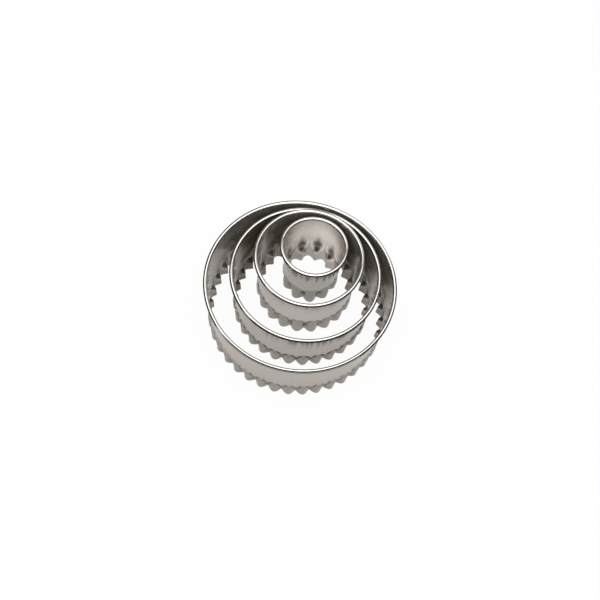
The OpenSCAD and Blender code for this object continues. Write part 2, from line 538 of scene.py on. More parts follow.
@dataclass
class Sheet:
    """A thin sheet: a grid of middle points, thickened to both sides.

    Attributes:
        middle: Points on the middle of the sheet, by column and row.
        thickness: Thickness of the sheet.
        kept: For each cell of the grid, whether it is there or cut away.
    """

    middle: np.ndarray
    thickness: float
    kept: np.ndarray

    def sides(self) -> tuple[np.ndarray, np.ndarray]:
        """Offsets the grid by half the thickness along the cross product of its two directions.

        Returns:
            The plus side and the minus side.
        """
        across = np.gradient(self.middle, axis=0)
        up = np.gradient(self.middle, axis=1)
        normal = np.cross(across, up)
        normal /= np.linalg.norm(normal, axis=2, keepdims=True)
        return self.middle + normal * self.thickness / 2, self.middle - normal * self.thickness / 2

    def faces(self) -> tuple[np.ndarray, np.ndarray]:
        """Numbers the corners of all faces: plus side, minus side, and a strip round every border.

        Point (i, j) of the plus side is number i * rows + j, and the minus side follows it.

        Returns:
            The faces, and for each point of the two sides whether it lies on the border.
        """
        columns, rows = self.middle.shape[:2]
        number = np.arange(columns * rows).reshape(columns, rows)
        minus = number + columns * rows
        i, j = np.nonzero(self.kept)
        found = [
            np.stack([number[i, j], number[i + 1, j], number[i + 1, j + 1], number[i, j + 1]], 1),
            np.stack([minus[i, j + 1], minus[i + 1, j + 1], minus[i + 1, j], minus[i, j]], 1),
        ]
        edge = np.zeros(columns * rows * 2, bool)
        padded = np.pad(self.kept, 1).astype(int)
        flat = padded[1:-1, 1:] - padded[1:-1, :-1]
        upright = padded[1:, 1:-1] - padded[:-1, 1:-1]
        for step in (1, -1):
            for where, di, dj in ((flat, 1, 0), (upright, 0, 1)):
                i, j = np.nonzero(where == step)
                a, b = number[i, j], number[i + di, j + dj]
                if (step == 1) == (di == 1):
                    a, b = b, a
                found.append(np.stack([a, b, b + columns * rows, a + columns * rows], 1))
                edge[np.concatenate([a, b, a + columns * rows, b + columns * rows])] = True
        return np.concatenate(found), edge


# ---------------------------------------------------------------- the cutters

# Rows of the mesh between the levels of Cutter.wall_heights, and round the curl.
WALL_ROWS = (5, 4, 19, 3, 5, 3)
CURL_ROWS = 28
# Points across half of a weld's face, and round it.
WELD_RINGS = 12
WELD_TURNS = 40
# Degrees to either side over which a slope is taken.
SLOPE_STEP = 0.05
# Millimetres in a unit of the strip's UV map, and where the minus side starts on it.
STRIP_UNIT = 100.0
MINUS_SIDE_AT = (400.0, 37.0)
# Heights closer than this are the same.
SAME_HEIGHT = 1e-6


@dataclass(frozen=True)
class Stock:
    """Sizes that the four cutters share.

    Attributes:
        sheet, wire, wire_gap: Thickness of the sheet and of the wire, and the gap between them.
        curl_open: Angle from the curl's end to the level line on the wall's side of the wire.
        lean: How far the wall leans outwards.
        arch_height, lobe_out: Height of a groove's arch, and how far a lobe bulges out.
        step_height, step_over, step_crown: The step over the lobes: its height, its place above
            the flutes, and how far it dips at a groove.
        step_flat: Share of the step that is missing in the middle of a lobe.
        swell_over: How far above the flutes the swell starts.
        groove_in, ridge_soft: Depth of a groove, and softness of its ridge.
        lap, joggle, lap_gap, lap_below_rim: The lap of the strip's ends: its width, the width over
            which the outer end rises, the gap between the layers, and its distance from the rim.
        rim_slit: Width of the slit where the rim's ends meet.
        weld, weld_low, weld_high: Diameter and heights of the spot welds.
        weld_outside, weld_inside: How far a weld stands out on either side.
        weld_ring, weld_ring_at, weld_ring_width, weld_dent: The pressed ring's height, place and
            width, in shares of the radius, and the depth of the dent inside it.
        crowding, room: How much the columns crowd at a ridge, and the least distance between a
            column and the lap's or slit's own, in columns.
    """

    sheet: float = 0.4
    wire: float = 1.2
    wire_gap: float = 0.02
    curl_open: float = 62.0
    lean: float = 5.0
    arch_height: float = 4.5
    lobe_out: float = 1.15
    step_height: float = 0.9
    step_over: float = 0.6
    step_crown: float = 2.2
    step_flat: float = 0.8
    swell_over: float = 1.5
    groove_in: float = 1.4
    ridge_soft: float = 0.22
    lap: float = 6.0
    joggle: float = 3.0
    lap_gap: float = 0.02
    lap_below_rim: float = 0.2
    rim_slit: float = 0.4
    weld: float = 2.6
    weld_low: float = 20.5
    weld_high: float = 28.0
    weld_outside: float = 0.05
    weld_inside: float = 0.03
    weld_ring: float = 0.05
    weld_ring_at: float = 0.72
    weld_ring_width: float = 0.16
    weld_dent: float = 0.02
    crowding: float = 1.35
    room: float = 0.15

    @property
    def curl_in(self) -> float:
        """Inner radius of the curl."""
        return self.wire / 2 + self.wire_gap

    @property
    def curl_mid(self) -> float:
        """Radius of the middle of the curled sheet."""
        return self.curl_in + self.sheet / 2

    @property
    def curl_out(self) -> float:
        """Outer radius of the curl."""
        return self.curl_in + self.sheet


@dataclass(frozen=True)
class Use:
    """Marks of use and painted light on one cutter.

    Attributes:
        film: Matt film of use on the inner side, with painted shade, left and right;
            none where it is below 0.
        bright: Strength of the painted highlight on the inner side above the flutes.
        sheen: Strength of the painted sheen that lightens the outer side.
        under: Strength of the upright streaks below the rim.
    """

    film: Pair
    bright: float
    clean: float
    under: float


@dataclass(frozen=True)
class ShadeAndPatina:
    """Where painted shade, painted highlight and dirt lie on every cutter.

    Attributes:
        pocket_low, pocket: Painted shade on the outer side of a groove: how far below the flutes'
            top its middle is, and its reach across and up.
        oval_high, oval, oval_power: Painted shade oval on the inner side: how far above the
            flutes' top its middle is, its half width and half height, and how sharply it ends.
        oval_shade, oval_slant: How dark the oval is, and how much darker at its top.
        halo, halo_width, halo_share, halo_top: Painted highlight ring round the oval: its place and
            width in ovals, its strength, and where it ends above the flutes' top.
        corner, corner_reach, corner_share: Painted shade below the rim: place, reach and strength.
        step_reach, step_power: Painted shade along the step: its reach, and how it fades from the
            groove.
        lip_high, lip_soft: Painted shade on the lower outer side and underside of the rim: its top
            above the wire, and its softness.
        seam_reach: Reach of the dirt at the edges of the lap.
        sheen_from, sheen_over: Height where the painted highlight on the inner side starts, and
            over which it grows.
        streak_gap, streak_length, streak_share: Streaks below the rim: where they start, how long
            they are, and their strength.
        side, side_swing, side_limits: Strength of the streaks over the cutter, from left to right.
        lobe_soft: Softness of the upper edge of the painted shade on the lobes.
    """

    pocket_low: float = 4.5
    pocket: Pair = (1.6, 3.2)
    oval_high: float = 1.2
    oval: Pair = (2.2, 4.4)
    oval_power: int = 6
    oval_shade: float = 0.80
    oval_slant: float = 0.25
    halo: float = 1.45
    halo_width: float = 0.25
    halo_share: float = 0.6
    halo_top: float = 4.0
    corner: float = 2.8
    corner_reach: float = 1.7
    corner_share: float = 1.2
    step_reach: float = 0.8
    step_power: float = 0.8
    lip_high: float = 0.6
    lip_soft: float = 0.3
    seam_reach: float = 0.5
    sheen_from: float = 13.0
    sheen_over: float = 12.0
    streak_gap: float = 0.2
    streak_length: float = 9.0
    streak_share: float = 1.3
    side: float = 0.75
    side_swing: float = 0.6
    side_limits: Pair = (0.25, 1.1)
    lobe_soft: float = 0.6


@dataclass
class Cutter:
    """One cutter: its band of sheet, the wire in its rim, and the spot welds of its seam.

    Attributes:
        name: Name of the cutter and of its body.
        diameter, height: Size over the rolled rim, and height of its top.
        flutes, flute_height: Number and height of the flutes.
        lobe_step, swell: Depth of the step beside a groove, and length of the swell below it.
        use: The cutter's own marks of use and painted light.
        lobe_angle, seam_angle: Azimuths of the middle of one lobe and of the seam.
        centre: Middle of the cutter.
        columns_per_flute: Columns of the mesh in one flute.
        stock, shade_and_patina: What all cutters share.
    """

    name: str
    diameter: float
    height: float
    flutes: int
    flute_height: float
    lobe_step: float
    swell: float
    use: Use
    lobe_angle: float
    seam_angle: float
    centre: Pair
    columns_per_flute: int
    stock: Stock = field(default_factory=Stock)
    shade_and_patina: ShadeAndPatina = field(default_factory=ShadeAndPatina)

    def rim_radius(self) -> float:
        """Radius of the circle on which the wire lies."""
        return self.diameter / 2 - self.stock.curl_out

    def rim_height(self) -> float:
        """Height of the wire's middle."""
        return self.height - self.stock.curl_out

    def wall_radius(self, z: np.ndarray) -> np.ndarray:
        """Middle of the plain wall: it leans outwards as it rises, up to the curl's inner side."""
        s = self.stock
        return self.rim_radius() - s.curl_mid - (self.rim_height() - z) * np.tan(np.radians(s.lean))

    def across(self, angle: np.ndarray) -> np.ndarray:
        """Place across the flutes: 0 in the middle of a groove and 1 in the middle of a lobe."""
        turn = (angle - self.lobe_angle) * self.flutes / 360
        return np.abs(turn - np.floor(turn) - 0.5) * 2

    def step_line(self, angle: np.ndarray) -> np.ndarray:
        """Height of the step: a low arch over each lobe, down by the crown at a groove."""
        s = self.stock
        return self.flute_height + s.step_over - s.step_crown * (1 - self.across(angle)) ** 2

    def groove(self, angle: np.ndarray, z: np.ndarray) -> np.ndarray:
        """Depth share of the groove, 1 on its ridge and 0 at its edge.

        With s the distance from the groove's middle, as a share of its reach, the depth is
        (sqrt(1 + e2) - sqrt(sin2(90 s) + e2)) / (sqrt(1 + e2) - e): a sharp but rounded ridge.
        Above the foot of the arch, s also grows with height, which closes the groove in an arch.

        Args:
            angle: Angles of the points.
            z: Heights of the points.

        Returns:
            The depth shares.
        """
        s, e = self.stock, self.stock.ridge_soft
        up = np.maximum(0.0, z - self.flute_height + s.arch_height) / s.arch_height
        reach = np.minimum(np.hypot(self.across(angle), up), 1.0)
        top = np.sqrt(1 + e * e)
        return (top - np.sqrt(np.sin(np.radians(90 * reach)) ** 2 + e * e)) / (top - e)

    def skirt_radius(self, angle: np.ndarray, z: np.ndarray) -> np.ndarray:
        """Middle of the fluted sheet: the wall, plus the lobe's bulge, less the groove.

        The bulge is a small step, where the press's edge stood, and a gentle swell below it. Each
        goes from 0 at its top to its full size at its foot as 0.5 + 0.5 cos(180 u), u from 1 to 0,
        and the step is only a fifth as deep in the middle of a lobe as beside a groove.

        Args:
            angle: Angles of the points.
            z: Heights of the points.

        Returns:
            The radii.
        """
        s = self.stock
        up = np.clip((z - self.flute_height - s.swell_over) / self.swell + 1, 0, 1)
        step = np.clip((z - self.step_line(angle)) / s.step_height + 0.5, 0, 1)
        share = self.lobe_step * (1 - s.step_flat * self.across(angle))
        bulge = (s.lobe_out - share) * (0.5 + 0.5 * np.cos(np.pi * up))
        bulge = bulge + share * (0.5 + 0.5 * np.cos(np.pi * step))
        return self.wall_radius(z) + bulge - (s.groove_in + bulge) * self.groove(angle, z)

    def lap_half(self) -> float:
        """Half the lap's angle."""
        return float(np.degrees(self.stock.lap / 2 / self.wall_radius(0.0)))

    def slit_half(self) -> float:
        """Half the angle of the rim's slit."""
        return float(np.degrees(self.stock.rim_slit / 2 / self.rim_radius()))

    def column_angles(self) -> np.ndarray:
        """Angles of the columns, from one end of the strip to the other.

        Within a flute, t from -1 to 1 goes to the share 0.5 + 0.5 sign(t) |t|^crowding, which puts
        more columns near the ridge. The ends of the lap and of the rim's slit have their own.

        Returns:
            The angles, in degrees.
        """
        half, slit = self.lap_half(), self.slit_half()
        start, end = self.seam_angle - half, self.seam_angle + 360 + half
        t = np.linspace(-1, 1, self.columns_per_flute + 1)[:-1]
        share = 0.5 + 0.5 * np.sign(t) * np.abs(t) ** self.stock.crowding
        first = np.floor((start - self.lobe_angle) * self.flutes / 360)
        turns = first + np.arange(self.flutes + 4)
        grid = (self.lobe_angle + (turns[:, None] + share) * 360 / self.flutes).ravel()
        own = np.array([start, self.seam_angle + slit, self.seam_angle + 360 - slit, end])
        grid = grid[(grid > start) & (grid < end)]
        room = self.stock.room * 360 / self.flutes / self.columns_per_flute
        grid = grid[np.abs(grid[:, None] - own).min(1) > room]
        return np.sort(np.concatenate([grid, own]))

    def lap_top(self) -> float:
        """Height at which the lap ends below the rim."""
        return self.rim_height() - self.stock.curl_out - self.stock.lap_below_rim

    def curl_start(self) -> float:
        """Height at which the wall turns into the curl."""
        return self.rim_height() + self.stock.curl_mid * np.sin(np.radians(180 - self.stock.lean))

    def wall_heights(self) -> np.ndarray:
        """Works out the rows on the wall, which lie closest over the step.

        Returns:
            Their heights.
        """
        s = self.stock
        step_top = self.flute_height + s.step_over + s.step_height / 2
        turns = (
            0,
            self.flute_height - s.arch_height,
            step_top - s.step_height - s.step_crown,
            step_top,
            self.flute_height + s.swell_over,
            self.lap_top(),
            self.curl_start(),
        )
        parts = zip(turns, turns[1:], WALL_ROWS)
        return np.concatenate([np.linspace(a, b, n, endpoint=False) for a, b, n in parts])

    def lap_lift(self, angle: np.ndarray, z: np.ndarray) -> np.ndarray:
        """How far the outer layer of the lap stands off, along the wall's level normal.

        It is one thickness and the lap's gap, times ease(u) ease(v), where u rises over the joggle
        before the lap and v falls from the lap's top to the curl.

        Args:
            angle: Angles of the points.
            z: Heights of the points.

        Returns:
            The distances.
        """
        s = self.stock
        start = self.seam_angle + 360 - self.lap_half()
        joggle = np.degrees(s.joggle / self.rim_radius())
        along = np.clip((angle - start + joggle) / joggle, 0, 1)
        up = np.clip((self.curl_start() - z) / (self.curl_start() - self.lap_top()), 0, 1)
        return (s.sheet + s.lap_gap) * ease(along) * ease(up)

    def wall_grid(self, angle: np.ndarray, z_wall: np.ndarray) -> np.ndarray:
        """Middle of the sheet on the wall.

        With r the skirt's radius at angle a and height z, and r' its slope by a, the point is
        (r cos a, r sin a) plus the lap's lift along (r cos a + r' sin a, r sin a - r' cos a).

        Args:
            angle: Angles of the columns.
            z_wall: Heights of the rows.

        Returns:
            The points, by column and row.
        """
        a, z = np.meshgrid(angle, z_wall, indexing="ij")
        radius = self.skirt_radius(a, z)
        rise = self.skirt_radius(a + SLOPE_STEP, z) - self.skirt_radius(a - SLOPE_STEP, z)
        slope = np.degrees(rise) / (2 * SLOPE_STEP)
        size = np.hypot(radius, slope)
        c, n = np.cos(np.radians(a)), np.sin(np.radians(a))
        lift = self.lap_lift(a, z)
        x = radius * c + lift * (radius * c + slope * n) / size
        y = radius * n + lift * (radius * n - slope * c) / size
        return np.stack([x, y, z], 2)

    def curl_grid(self, angle: np.ndarray, q: np.ndarray) -> np.ndarray:
        """Middle of the sheet on the curl: rim radius + R cos(q) out, rim height + R sin(q) up.

        Args:
            angle: Angles of the columns.
            q: Angles of the rows round the wire.

        Returns:
            The points, by column and row.
        """
        out = self.rim_radius() + self.stock.curl_mid * np.cos(q)
        up = self.rim_height() + self.stock.curl_mid * np.sin(q)
        x, y = np.outer(np.cos(np.radians(angle)), out), np.outer(np.sin(np.radians(angle)), out)
        return np.stack([x, y, np.broadcast_to(up, x.shape)], 2)

    def flat_strip(self, angle: np.ndarray, z_wall: np.ndarray, q: np.ndarray) -> np.ndarray:
        """Place of each point on the flat strip, the plus side first, as a UV map.

        Args:
            angle: Angles of the columns.
            z_wall: Heights of the rows on the wall.
            q: Angles of the rows on the curl.

        Returns:
            The length along the strip and the height up it, in units of 100 mm.
        """
        turned = np.radians(180 - self.stock.lean) - q
        up = np.concatenate([z_wall, self.curl_start() + self.stock.curl_mid * turned])
        along = np.radians(angle) * self.rim_radius()
        strip = np.stack(np.meshgrid(along, up, indexing="ij"), 2).reshape(-1, 2)
        return np.concatenate([strip, strip + MINUS_SIDE_AT]) / STRIP_UNIT

    def band(self) -> bpy.types.Object:
        """Builds the strip of sheet as one mesh, from the wall's grid and the curl's above it.

        Where the rim is slit, the cells above the lap's top are cut away.

        Returns:
            The mesh object.
        """
        angle, z_wall = self.column_angles(), self.wall_heights()
        curl = (180 - self.stock.lean, self.stock.curl_open - 180)
        q = np.radians(np.linspace(*curl, CURL_ROWS))
        middle = np.concatenate([self.wall_grid(angle, z_wall), self.curl_grid(angle, q)], 1)

        columns = (angle[:-1] + angle[1:]) / 2
        first, last = self.seam_angle + self.slit_half(), self.seam_angle + 360 - self.slit_half()
        uncut = (columns > first) & (columns < last)
        row_z = np.concatenate([z_wall, np.full(len(q), self.height)])
        kept = uncut[:, None] | (row_z[1:] <= self.lap_top() + SAME_HEIGHT)[None, :]
        sheet = Sheet(middle, self.stock.sheet, kept)
        points = np.concatenate([side.reshape(-1, 3) for side in sheet.sides()])
        faces, border = sheet.faces()
        at_edge = np.tile(np.arange(middle.shape[1]) == 0, 2 * len(angle))
        points[:, 2] = np.where(at_edge, 0.0, points[:, 2])

        used = np.unique(faces)
        renumber = np.full(len(points), -1)
        renumber[used] = np.arange(len(used))
        marks = self.marks(angle, z_wall, len(q), points)
        marks = {key: value[used] for key, value in marks.items()}
        points_at = points[used] + [*self.centre, 0.0]
        made = make_mesh(f"{self.name}_formed_band", points_at, renumber[faces], marks)
        unwrap(made, self.flat_strip(angle, z_wall, q)[used])
        side = np.repeat([1, 2], len(points) // 2)
        crease_edges(made, np.where(border, side, 0)[used])
        LOG.info("%s: band of %d faces", self.name, len(faces))
        return made

    def marks(
        self, angle: np.ndarray, z_wall: np.ndarray, curl_rows: int, points: np.ndarray
    ) -> dict[str, np.ndarray]:
        """Works out what the finish needs to know of each point.

        Most marks are a clipped slope from 1 to 0, such as 1 - distance / reach. The painted shade
        at the top of a groove's outer side is exp(-(across / reach)^2 - (up / reach)^2), and the
        painted shade oval on the inner side, with e the distance from its middle in ovals, is
        exp(-e^6).

        Args:
            angle: Angles of the columns.
            z_wall: Heights of the rows on the wall.
            curl_rows: Number of rows on the curl.
            points: All points, the plus side first, about the cutter's own middle.

        Returns:
            rise: height above the cutting edge. bead: 1 on the rim. groove: depth share of the
                groove. crease_shade: painted shade, 1 on the underside of the rim, in the corner
                    below it
                and at the flutes' top. seam: 1 at the edges of the lap. weld: distance from the
                nearer
                weld. film: how much matt film of use, with painted shade darker to one side,
                lies inside. nook: painted shade, 1 at the top of a groove, fading away from it.
            bright: painted highlight and sheen, 1 where it is full. under: strength of the streaks
                below the rim. lobe: painted shade, 1 on the outer side of the flutes.
        """
        s, shade_and_dirt, rows = self.stock, self.shade_and_patina, len(z_wall)
        shape = (2, len(angle), rows + curl_rows)
        p = points.reshape(*shape, 3)
        rise = p[..., 2]
        names = ("bead", "groove", "crease_shade", "film", "nook", "bright", "under", "lobe")
        found = {name: np.zeros(shape) for name in names} | {"rise": rise}
        found["bead"][:, :, rows:] = 1.0
        found["groove"][:, :, :rows] = self.groove(*np.meshgrid(angle, z_wall, indexing="ij"))

        across, line = self.across(angle)[:, None], self.step_line(angle)[:, None]
        arc = across * np.pi * self.wall_radius(0.0) / self.flutes
        # Painted shade at the top of each groove on the outer side.
        wide, tall = shade_and_dirt.pocket
        pocket_up = (rise[0] - self.flute_height + shade_and_dirt.pocket_low) / tall
        found["nook"][0] = np.exp(-((arc / wide) ** 2) - pocket_up**2)
        # Painted shade oval above each ridge on the inner side, darker at its top.
        wide, tall = shade_and_dirt.oval
        oval_up = (rise[1] - self.flute_height - shade_and_dirt.oval_high) / tall
        oval = np.hypot(arc / wide, oval_up)
        shade = shade_and_dirt.oval_shade + shade_and_dirt.oval_slant * np.clip(oval_up, -1, 1)
        found["nook"][1] = np.exp(-(oval**shade_and_dirt.oval_power)) * shade

        below = self.rim_height() - s.curl_mid - rise[0]
        # Painted shade in the corner below the rim and along the step over the lobes.
        corner = shade_and_dirt.corner_share - np.abs(below - shade_and_dirt.corner) / shade_and_dirt.corner_reach
        step = np.clip(1 - np.abs(rise[0] - line) / shade_and_dirt.step_reach, 0, 1)
        found["crease_shade"][0] = np.clip(corner, 0, 1) + step * (1 - across) ** shade_and_dirt.step_power
        # Painted shade on the lower outer side and underside of the rim.
        seen = slice(rows + curl_rows // 3, None)
        lip = (self.rim_height() + shade_and_dirt.lip_high - rise[1, :, seen]) / shade_and_dirt.lip_soft
        found["crease_shade"][1, :, seen] = np.clip(lip, 0, 1)

        turn = np.degrees(np.arctan2(p[..., 1], p[..., 0])) - self.seam_angle
        flat = np.radians((turn + 180) % 360 - 180) * self.rim_radius()
        gap = np.abs(np.abs(flat) - s.lap / 2)
        seam = np.clip(1 - gap / shade_and_dirt.seam_reach, 0, 1)
        found["seam"] = seam * (rise < self.rim_height() - s.curl_out)
        welds = [np.hypot(flat, rise - height) for height in (s.weld_low, s.weld_high)]
        found["weld"] = np.minimum(*welds)

        around = np.cos(np.radians(angle))[:, None]
        # Film of use inside, with painted shade: stronger on one side than the other.
        left, right = self.use.film
        spread = (left + right) / 2 + (right - left) / 2 * around
        found["film"][1, :, :rows] = np.maximum(spread, 0.0)
        # Painted highlight: the inner side lighter towards its top, a light ring round each oval,
        # and a lighter outer side.
        sheen_rise = np.clip((rise[1, :, :rows] - shade_and_dirt.sheen_from) / shade_and_dirt.sheen_over, 0, 1)
        found["bright"][1, :, :rows] = self.use.bright * sheen_rise
        halo = shade_and_dirt.halo_share * np.exp(-(((oval - shade_and_dirt.halo) / shade_and_dirt.halo_width) ** 2))
        found["bright"][1] += halo * (rise[1] < self.flute_height + shade_and_dirt.halo_top)
        found["bright"][0, :, :rows] = self.use.clean
        fall = np.clip(shade_and_dirt.streak_share - below / shade_and_dirt.streak_length, 0, 1)
        found["under"][0] = self.use.under * fall * (below > shade_and_dirt.streak_gap)
        found["under"][0] *= np.clip(shade_and_dirt.side + shade_and_dirt.side_swing * around, *shade_and_dirt.side_limits)
        # Painted shade on the lobes below the step.
        found["lobe"][0] = np.clip((line - rise[0]) / shade_and_dirt.lobe_soft, 0, 1)
        return {key: value.ravel() for key, value in found.items()}

    def weld_profile(self) -> tuple[np.ndarray, np.ndarray]:
        """Half section of a weld, from the middle of its outer face to that of its inner face.

        With p the share of the radius, both faces follow ring exp(-((p - at) / width)^2) - dent
        (1 - p)^2: a raised ring round a shallow dent. Heights start from the middle of the lap's
        inner layer, so the lap's faces are at 1.5 and -0.5 sheets.

        Returns:
            The height along the wall's normal, and the distance from the weld's axis.
        """
        s = self.stock
        p = np.linspace(0.02, 1.0, WELD_RINGS)
        ring = s.weld_ring * np.exp(-(((p - s.weld_ring_at) / s.weld_ring_width) ** 2))
        ring = ring - s.weld_dent * (1 - p) ** 2
        outer, inner = 1.5 * s.sheet + s.weld_outside + ring, 0.5 * s.sheet + s.weld_inside + ring
        side = np.array([1.4 * s.sheet, -0.4 * s.sheet])
        reach = np.concatenate([p, [1.0, 1.0], p[::-1]]) * s.weld / 2
        return np.concatenate([outer, side, -inner[::-1]]), reach

    def welds(self) -> bpy.types.Object:
        """Builds the two spot welds as closed shells of revolution about the wall's normal.

        Returns:
            The mesh object.
        """
        s = self.stock
        out, reach = self.weld_profile()
        turn = np.linspace(0, 2 * np.pi, WELD_TURNS, endpoint=False)
        a, lean = np.radians(self.seam_angle), np.radians(s.lean)
        normal = np.array([np.cos(a) * np.cos(lean), np.sin(a) * np.cos(lean), -np.sin(lean)])
        level = np.array([-np.sin(a), np.cos(a), 0.0])
        steep = np.cross(normal, level)
        rings, count = len(out), len(turn)
        n = np.arange(rings * count).reshape(rings, count)
        nxt, top, bottom = np.roll(n, -1, 1), np.full(count, n.size), np.full(count, n.size + 1)
        quads = np.stack([n[:-1], n[1:], nxt[1:], nxt[:-1]], 2).reshape(-1, 4)
        upper = np.stack([top, n[0], nxt[0], nxt[0]], 1)
        lower = np.stack([bottom, nxt[-1], n[-1], n[-1]], 1)
        shell = np.concatenate([quads, upper, lower])
        swing = np.cos(turn)[:, None] * level + np.sin(turn)[:, None] * steep
        points = []
        x, y = self.centre
        for height in (s.weld_low, s.weld_high):
            r = self.wall_radius(height)
            base = np.array([r * np.cos(a) + x, r * np.sin(a) + y, height])
            body = base + out[:, None, None] * normal + reach[:, None, None] * swing[None]
            ends = base + np.array([out[0], out[-1]])[:, None] * normal
            points.append(np.concatenate([body.reshape(-1, 3), ends]))
        spread = np.concatenate([np.repeat(reach / reach.max(), count), [0.0, 0.0]])
        faces = np.concatenate([shell, shell + n.size + 2])
        marks = {"spread": np.tile(spread, 2)}
        made = make_mesh(f"{self.name}_pressed_welds", np.concatenate(points), faces, marks)
        LOG.info("%s: welds of %d points", self.name, len(made.data.vertices))
        return made

    def dress(self, finishes: dict[Slot, bpy.types.Material]) -> None:
        """Builds the cutter's pieces, gives each its finish, and sets it on the cutter's body.

        Args:
            finishes: The material of each slot.
        """
        for made, node, slot in (
            (self.band(), f"{self.name}_band", Slot.SHEET),
            (self.welds(), f"{self.name}_seam_welds", Slot.WELD),
        ):
            made.data.materials.append(finishes[slot])
            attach(made, self.name)
            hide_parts(node)
        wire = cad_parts[f"{self.name}_rim_wire"]
        wire.data.materials.clear()
        wire.data.materials.append(finishes[Slot.WIRE])
        LOG.info("%s: dressed", self.name)


@dataclass
class NestedSet:
    """The four cutters, each standing inside the next larger one.

    Each field but the stock holds one value for each cutter, from the largest to the smallest.
    """

    stock: Stock = field(default_factory=Stock)
    diameters: tuple[float, ...] = (97.9, 77.3, 56.7, 35.3)
    heights: tuple[float, ...] = (35.4, 34.8, 36.5, 35.4)
    flutes: tuple[int, ...] = (38, 29, 19, 10)
    flute_heights: tuple[float, ...] = (10.0, 10.0, 12.5, 12.5)
    lobe_steps: tuple[float, ...] = (0.4, 0.4, 0.3, 0.12)
    swells: tuple[float, ...] = (4.5, 5.0, 6.5, 9.0)
    uses: tuple[Use, ...] = (
        Use((0.62, 0.55), 0.0, 0.0, 0.1),
        Use((1.7, 0.6), 0.0, 0.1, 1.2),
        Use((0.95, 0.7), 0.0, 0.24, 0.4),
        Use((0.5, -0.3), 1.0, 0.0, 2.4),
    )
    lobe_angles: tuple[float, ...] = (-161.7, -154.0, -147.4, -151.2)
    seam_angles: tuple[float, ...] = (83.0, 89.6, 60.0, 2.0)
    columns: tuple[int, ...] = (17, 20, 26, 40)
    names: tuple[str, ...] = ("largest", "large", "small", "smallest")

    def centre(self, name: str) -> Pair:
        """Finds a cutter's middle: that of the box round the wire in its rim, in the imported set.

        Args:
            name: Name of the cutter.

        Returns:
            Its place along X and Y.
        """
        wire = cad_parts[f"{name}_rim_wire"]
        corners = np.array([wire.matrix_world @ Vector(corner) for corner in wire.bound_box]) / MM
        middle = (corners.min(0) + corners.max(0)) / 2
        return float(middle[0]), float(middle[1])

    def cutters(self) -> list[Cutter]:
        """The four cutters, from the largest to the smallest."""
        return [
            Cutter(*sizes, centre=self.centre(sizes[0]), columns_per_flute=count, stock=self.stock)
            for *sizes, count in zip(
                self.names,
                self.diameters,
                self.heights,
                self.flutes,
                self.flute_heights,
                self.lobe_steps,
                self.swells,
                self.uses,
                self.lobe_angles,
                self.seam_angles,
                self.columns,
            )
        ]


# ---------------------------------------------------------------- studio


@dataclass
class Viewpoint:
    """The photograph's camera, from a fit to the rims and the cutting edges.

    Attributes:
        focal_px: Focal length in the photograph's pixels.
        elevation, roll: Angles of the camera.
        distance, aim: Distance from the point that the camera looks at, and that point.
        half_pixel: Half a pixel, by which the photograph's middle lies off the camera's axis.
        sensor: Width of the camera's sensor.
        clip: Nearest and furthest distance that is drawn, in metres.
    """

    focal_px: float = 1487.6
    elevation: float = 62.601
    roll: float = 9.9
    distance: float = 782.79
    aim: Triple = (1.435, 8.913, 0.0)
    half_pixel: float = 0.5
    sensor: float = 36.0
    clip: Pair = (0.01, 20.0)

    def build(self) -> None:
        """Places the camera at its distance from the aim, turned by the roll about its own axis."""
        e, roll = np.radians(self.elevation), np.radians(self.roll)
        forward = np.array([0.0, np.cos(e), -np.sin(e)])
        level, rise = np.array([1.0, 0.0, 0.0]), np.array([0.0, np.sin(e), np.cos(e)])
        right = np.cos(roll) * level + np.sin(roll) * rise
        up = -np.sin(roll) * level + np.cos(roll) * rise
        place = np.array(self.aim) - forward * self.distance
        off = self.half_pixel / self.focal_px
        forward = forward - off * right + off * up
        forward /= np.linalg.norm(forward)
        right = np.cross(forward, up)
        right /= np.linalg.norm(right)
        up = np.cross(right, forward)
        data = bpy.data.cameras.new("photograph")
        data.sensor_width = self.sensor
        data.lens = self.focal_px / PHOTO_SIDE * self.sensor
        data.clip_start, data.clip_end = self.clip
        made = bpy.data.objects.new("photograph", data)
        bpy.context.scene.collection.objects.link(made)
        axes = Matrix(np.stack([right, up, -forward], 1).tolist()).to_4x4()
        made.matrix_world = Matrix.Translation(Vector(place * MM)) @ axes
        bpy.context.scene.camera = made


@dataclass(frozen=True)
class Card:
    """A dark card that stands round the object, and shows only in gloss.

    Attributes:
        start, end: Azimuths of its ends.
        radius: Its distance from the middle.
        low, top: Heights of its edges.
        grey: Its colour.
        fade: Angle over which it thins out to nothing towards either end.
    """

    start: float
    end: float
    radius: float
    low: float
    top: float
    grey: float
    fade: float = 0.0


